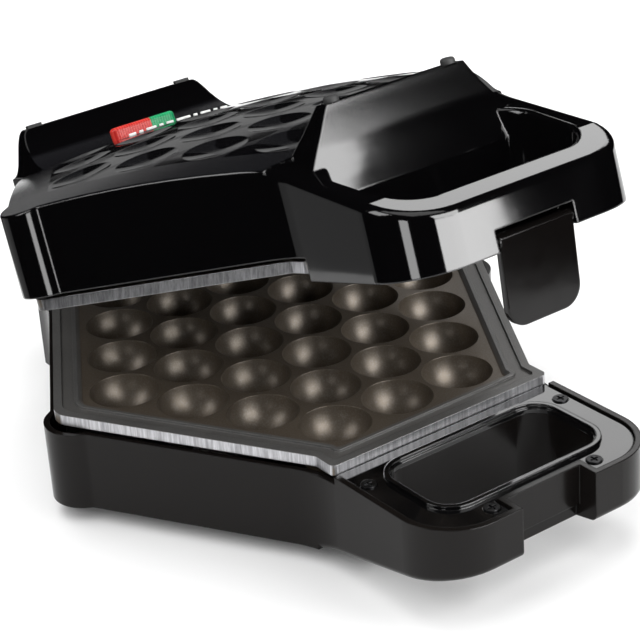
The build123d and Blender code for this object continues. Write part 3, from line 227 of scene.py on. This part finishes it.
# Where the bare metal of a plate's edge starts and ends, and how deep its cups turn brown
BARE_INSET = (-0.0006, -0.0002)
BARE_TOP = (0.00005, 0.0003)
BARE_BOTTOM = (0.0046, 0.0050)
CUP_DEPTHS = (0.0008, 0.0019)


def inside_plate(n, x, y):
    """Distance inside a plate's outline, negative within it."""
    x = n.math("ABSOLUTE", x)
    y = n.math("ABSOLUTE", y)
    slant = n.math("ADD", n.times(x, cos(PLATE_SLANT)), n.times(y, sin(PLATE_SLANT)))
    slant = n.math("SUBTRACT", slant, PLATE_SIDE)
    block = n.math("SUBTRACT", x, PLATE_SHOULDER)
    end = n.math("SUBTRACT", y, PLATE_END)
    return n.math("MAXIMUM", end, n.math("MINIMUM", slant, block))


def plate_material(name, upper):
    """Coated cooking plate: dark speckled coating, browner in the cups, bare streaky edge."""
    n = Nodes(name)
    x, y, depth = half_places(n, upper)
    near_edge = n.step(inside_plate(n, x, y), BARE_INSET)
    bare = n.times(near_edge, n.step(depth, BARE_TOP), n.step(depth, BARE_BOTTOM, falling=True))
    speckle = n.ramp(n.noise(1400.0, 2.0, 0.7), 0.42, 0.72)
    cloud = n.noise(60.0, 3.0, 0.5)
    grey = n.mix(cloud, (0.075, 0.074, 0.072), (0.110, 0.108, 0.105))
    brown = n.mix(cloud, (0.070, 0.054, 0.038), (0.100, 0.078, 0.054))
    coated = n.mix(n.ramp(depth, *CUP_DEPTHS), grey, brown)
    coated = n.mix(n.times(speckle, 0.35), coated, (0.16, 0.155, 0.15))
    streak = n.ramp(n.noise(700.0, 4.0, 0.75, stretch=(1.0, 1.0, 0.06)), 0.3, 0.72)
    metal = n.mix(streak, (0.26, 0.26, 0.27), (0.58, 0.58, 0.60))
    n.set(
        color=n.mix(bare, coated, metal), metallic=n.spread(bare, 0.55, 0.4),
        roughness=n.spread(bare, -0.06, n.spread(cloud, 0.08, 0.34)), specular=0.5,
    )
    n.bump(n.noise(2600.0, 2.0, 0.6), 0.12, 0.0002, 0.0004)
    return n.material


# Lattice of the lid's dimples, and the limits of the field that they fill
DIMPLE_PITCH = 0.030
DIMPLE_STEP = 0.026
DIMPLE_REACH = (0.0122, 0.0130)
DIMPLE_FIELD = (-0.0151, -0.0145)
DIMPLE_BACK = (0.0655, 0.0660)
DIMPLE_GLOSS = 0.8
# Limits of the satin panel on the lid's top, and of the front fin's face
PANEL_FACING = (0.78, 0.84)
PANEL_FRONT = (-0.0965, -0.0955)
PANEL_HEIGHT = (0.0365, 0.0370)
PANEL_BACK = (0.0975, 0.0985)
FIN_FACING = (0.70, 0.80)
FIN_HEIGHT = (0.0400, 0.0430)
FIN_BACK = (-0.040, -0.030)


def in_dimples(n, x, y):
    """One inside the round dimples of the lid's top, zero between them."""
    away = []
    for shift in (0, 1):
        u = n.math("ADD", x, shift * DIMPLE_PITCH / 2)
        v = n.math("ADD", y, shift * DIMPLE_STEP)
        u = n.math("WRAP", u, DIMPLE_PITCH / 2, -DIMPLE_PITCH / 2)
        v = n.math("WRAP", v, DIMPLE_STEP, -DIMPLE_STEP)
        away.append(n.math("SQRT", n.math("ADD", n.times(u, u), n.times(v, v))))
    inside = n.ramp(n.math("MINIMUM", *away), *DIMPLE_REACH, falling=True)
    within = n.step(inside_plate(n, x, y), DIMPLE_FIELD, falling=True)
    return n.times(within, n.step(y, DIMPLE_BACK, falling=True), inside)


def lid_material():
    """Glossy black cover: satin top panel, glossier dimples, soft sheen on the front fin's face."""
    n = Nodes("lid_black")
    x, y, height = half_places(n, True)
    panel = n.times(
        n.step(n.along(n.normal(), LID_UP), PANEL_FACING), n.step(y, PANEL_FRONT),
        n.step(height, PANEL_HEIGHT), n.step(y, PANEL_BACK, falling=True),
        n.math("SUBTRACT", 1.0, n.times(in_dimples(n, x, y), DIMPLE_GLOSS)),
    )
    face = n.times(
        n.step(n.along(n.normal(), -LID_BACK), FIN_FACING), n.step(height, FIN_HEIGHT),
        n.ramp(y, *FIN_BACK, falling=True),
    )
    grain = n.noise(2400.0, 2.0, 0.6)
    gloss = n.spread(n.haze(), 0.025, 0.040)
    sheen = n.spread(grain, 0.04, 0.08)
    satin = n.spread(grain, 0.06, 0.17)
    rough = n.spread(panel, n.math("SUBTRACT", satin, gloss), gloss)
    rough = n.spread(face, n.math("SUBTRACT", sheen, gloss), rough)
    color = n.mix(panel, (0.0014, 0.0013, 0.0015), (0.006, 0.006, 0.007))
    n.set(color=color, roughness=rough, specular=0.5)
    textured = n.times(grain, n.math("MAXIMUM", panel, face))
    swell = n.times(n.noise(45.0, 2.0, 0.45), 0.4)
    n.bump(n.spread(textured, 0.3, swell), 0.05, 0.0008, 0.0009)
    return n.material


def metal_material(name, color, roughness, streaks=None):
    """Bare or dark metal with patches, or with streaks, of a duller tone."""
    n = Nodes(name)
    wear = n.ramp(n.noise(420.0, 4.0, 0.6, stretch=streaks), 0.3, 0.75)
    darker = tuple(0.7 * value for value in color)
    n.set(color=n.mix(wear, darker, color), metallic=1.0, roughness=n.spread(wear, 0.12, roughness))
    n.bump(wear, 0.05, 0.0002, 0.0002)
    return n.material


def dull_material(name, color, roughness, grain=900.0):
    """Rubber, plain plastic or sleeving with a fine grain."""
    n = Nodes(name)
    tone = n.noise(grain, 3.0, 0.6)
    darker = tuple(0.82 * value for value in color)
    n.set(color=n.mix(tone, darker, color), roughness=n.spread(tone, 0.15, roughness))
    n.bump(tone, 0.15, 0.0002, 0.0003)
    return n.material


def window_material(name, color, bright):
    """Clear coloured window with moulded ribs under its face, and a faint painted glow of its own
    colour.
    """
    n = Nodes(name)
    wave = n.new("ShaderNodeTexWave", wave_type="BANDS", bands_direction="X")
    wave.inputs["Scale"].default_value = 260.0
    wave.inputs["Distortion"].default_value = 0.6
    n.link(n.place(), wave.inputs["Vector"])
    rib = n.ramp(wave.outputs["Fac"], 0.2, 0.9)
    cloud = n.ramp(n.noise(380.0, 3.0, 0.6), 0.35, 0.7)
    tone = n.mix(n.times(cloud, 0.5), n.mix(rib, color, bright), bright)
    # painted glow: the window gives off its own colour faintly, as if lit from behind, though the lamp
    # in it gives no light
    n.set(color=tone, roughness=0.3, specular=0.25, emission=tone, glow=0.05)
    n.bump(rib, 0.25, 0.0004, 0.0003)
    return n.material


def clear_material(name):
    """Warm clear glass."""
    n = Nodes(name)
    tone = n.mix(n.noise(500.0), (0.85, 0.80, 0.70), (0.95, 0.92, 0.85))
    n.set(color=tone, roughness=0.08, transmission=0.8, ior=1.5)
    return n.material


def paint(material, *names):
    """Give one material to whole nodes of the model."""
    for name in names:
        slots = nodes[name].data.materials
        slots.clear()
        slots.append(material)


paint(black_plastic("base_black", 0.16, 0.06, 0.0007, (0.0050, 0.0041, 0.0037), 0.16), "lower_housing")
paint(lid_material(), "upper_housing")
paint(black_plastic("gloss_black", 0.05, 0.04, 0.0008), "lower_handle_cover", "upper_handle_cover")
paint(black_plastic("latch_black", 0.07, 0.04, 0.0006, (0.0034, 0.0028, 0.0026), 0.25), "latch")
paint(plate_material("lower_plate_coating", False), "lower_plate")
paint(plate_material("upper_plate_coating", True), "upper_plate")
paint(
    metal_material("screw_black", (0.05, 0.05, 0.052), 0.28),
    "lower_cover_screws", "upper_cover_screws",
)
paint(
    metal_material("plain_steel", (0.62, 0.62, 0.61), 0.25, (1.0, 1.0, 6.0)),
    "lower_element_straps", "upper_element_straps", "lower_strap_screws", "upper_strap_screws",
    "lower_reflector_washers", "upper_reflector_washers", "lower_thermostat", "upper_thermostat",
    "lamp_screws", "latch_pin", "hinge_pins", "thermal_fuse", "fuse_clip",
)
paint(
    metal_material("sheet_metal", (0.76, 0.76, 0.77), 0.30, (6.0, 1.0, 1.0)),
    "lower_heat_reflector", "upper_heat_reflector",
)
paint(
    metal_material("element_steel", (0.36, 0.33, 0.31), 0.38),
    "lower_heating_element", "upper_heating_element",
)
paint(metal_material("brass", (0.78, 0.58, 0.28), 0.25), "terminal_screws")
paint(
    dull_material("foot_rubber", (0.022, 0.022, 0.022), 0.62),
    "rubber_feet", "rear_fin_feet", "front_fin_feet",
)
paint(dull_material("gland_rubber", (0.018, 0.018, 0.018), 0.55), "cord_gland")
paint(dull_material("inner_plastic", (0.70, 0.67, 0.60), 0.5), "lamp_holder", "terminal_block")
paint(dull_material("lead_sleeve", (0.72, 0.72, 0.70), 0.5), "lower_leads", "upper_leads")
paint(dull_material("woven_sleeve", (0.80, 0.78, 0.70), 0.75, 2600.0), "fuse_sleeve")
paint(window_material("red_window", (0.36, 0.004, 0.003), (0.52, 0.035, 0.025)), "red_lens")
paint(window_material("green_window", (0.001, 0.17, 0.06), (0.008, 0.30, 0.11)), "green_lens")
paint(clear_material("lamp_glass"), "indicator_lamps")

CREASE = radians(28)

for item in nodes.values():
    mesh = item.data
    mesh.polygons.foreach_set("use_smooth", [True] * len(mesh.polygons))
    mesh.set_sharp_from_angle(angle=CREASE)

# Plain raised marks beside the two lamp windows, in place of the printed words: two groups of
# round-ended dashes in one row, with the same lengths in each
MARK_ROW = 0.0643
MARK_STARTS = (-0.0165, 0.0110)
MARK_LENGTHS = (0.0035, 0.0020, 0.0050, 0.0020, 0.0035, 0.0050)
MARK_SPACE = 0.0016
MARK_HALF = 0.0006
MARK_STEPS = 4
MARK_RISE = 0.0009
MARK_SINK = 0.0003
MARK_EDGE = 0.0002
MARK_RINGS = ((0.0, -MARK_SINK), (0.0, MARK_RISE - MARK_EDGE), (MARK_EDGE, MARK_RISE))
RAY_HEIGHT = 0.08


def lid_surface(tree, x, y):
    """Place on the lid's top above a place in its plan."""
    start = LID_ORIGIN + Vector((x, 0, 0)) + LID_BACK * y + LID_UP * RAY_HEIGHT
    return tree.ray_cast(start, -LID_UP)[0]


def mark_outline(start, length, inset):
    """Round-ended outline of one mark, in the lid's plan."""
    points = []
    reach = MARK_HALF - inset
    for end, side in ((start + length - MARK_HALF, -1), (start + MARK_HALF, 1)):
        for step in range(MARK_STEPS + 1):
            angle = side * pi / 2 + step / MARK_STEPS * pi
            points.append((end + reach * cos(angle), MARK_ROW + reach * sin(angle)))
    return points


def add_mark(bm, tree, start, length):
    """One mark, from just under the lid's surface to its top with a small chamfer."""
    rings = []
    for inset, rise in MARK_RINGS:
        outline = mark_outline(start, length, inset)
        rings.append([bm.verts.new(lid_surface(tree, x, y) + LID_UP * rise) for x, y in outline])
    for low, high in zip(rings, rings[1:]):
        for i in range(len(low)):
            j = (i + 1) % len(low)
            bm.faces.new((low[i], low[j], high[j], high[i]))
    bm.faces.new(rings[-1])
    bm.faces.new(rings[0][::-1])


def lamp_marks():
    tree = BVHTree.FromObject(nodes["upper_housing"], bpy.context.evaluated_depsgraph_get())
    bm = bmesh.new()
    for start in MARK_STARTS:
        for length in MARK_LENGTHS:
            add_mark(bm, tree, start, length)
            start += length + MARK_SPACE
    bmesh.ops.recalc_face_normals(bm, faces=bm.faces)
    mesh = bpy.data.meshes.new("lamp_marks")
    bm.to_mesh(mesh)
    bm.free()
    mesh.materials.append(dull_material("mark_white", (0.86, 0.86, 0.84), 0.4))
    piece = bpy.data.objects.new("lamp_marks", mesh)
    scene.collection.objects.link(piece)
    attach(piece, "lid")


lamp_marks()

# Floor and backdrop: one pale sweep, of which glossy faces mirror only the part near the object
FLOOR_TURN = -radians(35)
FLOOR_SIDE = 4.0
FLOOR_FRONT = -3.0
NEAR_LEFT = -0.24
NEAR_RIGHT = 0.58
NEAR_DEPTH = 0.62
NEAR_CELL = (1, 1)
SWEEP_START = 1.2
SWEEP_RADIUS = 0.8
SWEEP_STEPS = 16
SWEEP_TOP = 3.0


def sweep_rows():
    """Rearward and upward distance of each cross line of the sweep."""
    rows = [(y, 0.0) for y in (FLOOR_FRONT, -NEAR_DEPTH, NEAR_DEPTH, SWEEP_START)]
    for step in range(1, SWEEP_STEPS + 1):
        angle = step / SWEEP_STEPS * pi / 2
        rows.append((SWEEP_START + SWEEP_RADIUS * sin(angle), SWEEP_RADIUS * (1 - cos(angle))))
    return rows + [(SWEEP_START + SWEEP_RADIUS, SWEEP_TOP)]


def floor_part(name, near, material):
    """The middle cell of the sweep, or all of the sweep around it."""
    bm = bmesh.new()
    columns = (-FLOOR_SIDE, NEAR_LEFT, NEAR_RIGHT, FLOOR_SIDE)
    rows = [[bm.verts.new((x, y, z)) for x in columns] for y, z in sweep_rows()]
    for row, (first, second) in enumerate(zip(rows, rows[1:])):
        for column in range(len(columns) - 1):
            if ((row, column) == NEAR_CELL) == near:
                left, right = column, column + 1
                bm.faces.new((first[left], first[right], second[right], second[left]))
    bmesh.ops.delete(bm, geom=[v for v in bm.verts if not v.link_faces], context="VERTS")
    mesh = bpy.data.meshes.new(name)
    bm.to_mesh(mesh)
    bm.free()
    mesh.polygons.foreach_set("use_smooth", [True] * len(mesh.polygons))
    mesh.materials.append(material)
    part = bpy.data.objects.new(name, mesh)
    part.rotation_euler = (0, 0, FLOOR_TURN)
    scene.collection.objects.link(part)
    part.visible_glossy = near


pale = Nodes("floor_pale")
pale.set(
    color=pale.mix(pale.noise(3.0), (0.84, 0.84, 0.84), (0.88, 0.88, 0.88)),
    roughness=0.7, specular=0.1,
)
floor_part("floor", True, pale.material)
floor_part("backdrop", False, pale.material)

# World and lamps: broad lamps light the floor, and soft boxes show only as reflections
AMBIENT = 0.75
LAMP_TARGET = Vector((0.0, 0.0, 0.08))
BOX_TARGET = Vector((0.0, -0.05, 0.14))
BOX_DISTANCE = 1.6
# Name, place, size and power of each broad lamp
BROAD_LAMPS = (
    ("key", (-0.9, -0.5, 1.3), (1.2, 1.2), 14),
    ("fill", (0.9, -0.9, 1.0), (1.3, 1.3), 15),
    ("top", (0.1, 0.5, 1.6), (1.6, 1.0), 16),
)
# Name, sideways and upward direction, width, height and lean in degrees, and radiance of each box
SOFT_BOXES = (
    ("front_box", 12.5, 4, 43.8, 13, 0, 14.0),
    ("high_box", 14, 29, 40, 34, -8, 12.0),
    ("left_box", -58, 4, 13, 18, 0, 7.0),
    ("side_box", -105, 38, 22, 36, 0, 6.0),
    ("rear_box", 127.5, 28, 26, 10, 0, 3.4),
    ("low_box", 150, -0.5, 50, 11, 0, 0.35),
    ("left_low_box", -148, -22, 34, 24, 0, 0.3),
    ("over_box", 0, 89, 44, 44, 0, 1.6),
)

world = bpy.data.worlds.new("world")
world.use_nodes = True
background = world.node_tree.nodes["Background"]
background.inputs["Color"].default_value = (1.0, 1.0, 1.0, 1.0)
background.inputs["Strength"].default_value = AMBIENT
scene.world = world
world.cycles_visibility.glossy = False
scene.view_settings.view_transform = "Standard"


def area(name, place, target, size, power):
    """Rectangular lamp that the camera doesn't see."""
    data = bpy.data.lights.new(name, "AREA")
    data.shape = "RECTANGLE"
    data.size, data.size_y = size
    data.energy = power
    lamp = bpy.data.objects.new(name, data)
    lamp.location = place
    lamp.rotation_euler = (target - Vector(place)).to_track_quat("-Z", "Y").to_euler()
    scene.collection.objects.link(lamp)
    lamp.visible_camera = False
    return lamp


def soft_box(name, sideways, upward, width, height, lean, radiance):
    """Box of light in a direction from the object, as wide and high as two angles seen from it."""
    heading, lift = radians(sideways), radians(upward)
    aim = Vector((sin(heading) * cos(lift), -cos(heading) * cos(lift), sin(lift)))
    size = [2 * BOX_DISTANCE * tan(radians(angle) / 2) for angle in (width, height)]
    power = radiance * pi * size[0] * size[1]
    lamp = area(name, BOX_TARGET + BOX_DISTANCE * aim, BOX_TARGET, size, power)
    lamp.rotation_euler.rotate_axis("Z", radians(lean))
    lamp.visible_diffuse = False


for name, place, size, power in BROAD_LAMPS:
    area(name, place, LAMP_TARGET, size, power).visible_glossy = False
for box in SOFT_BOXES:
    soft_box(*box)
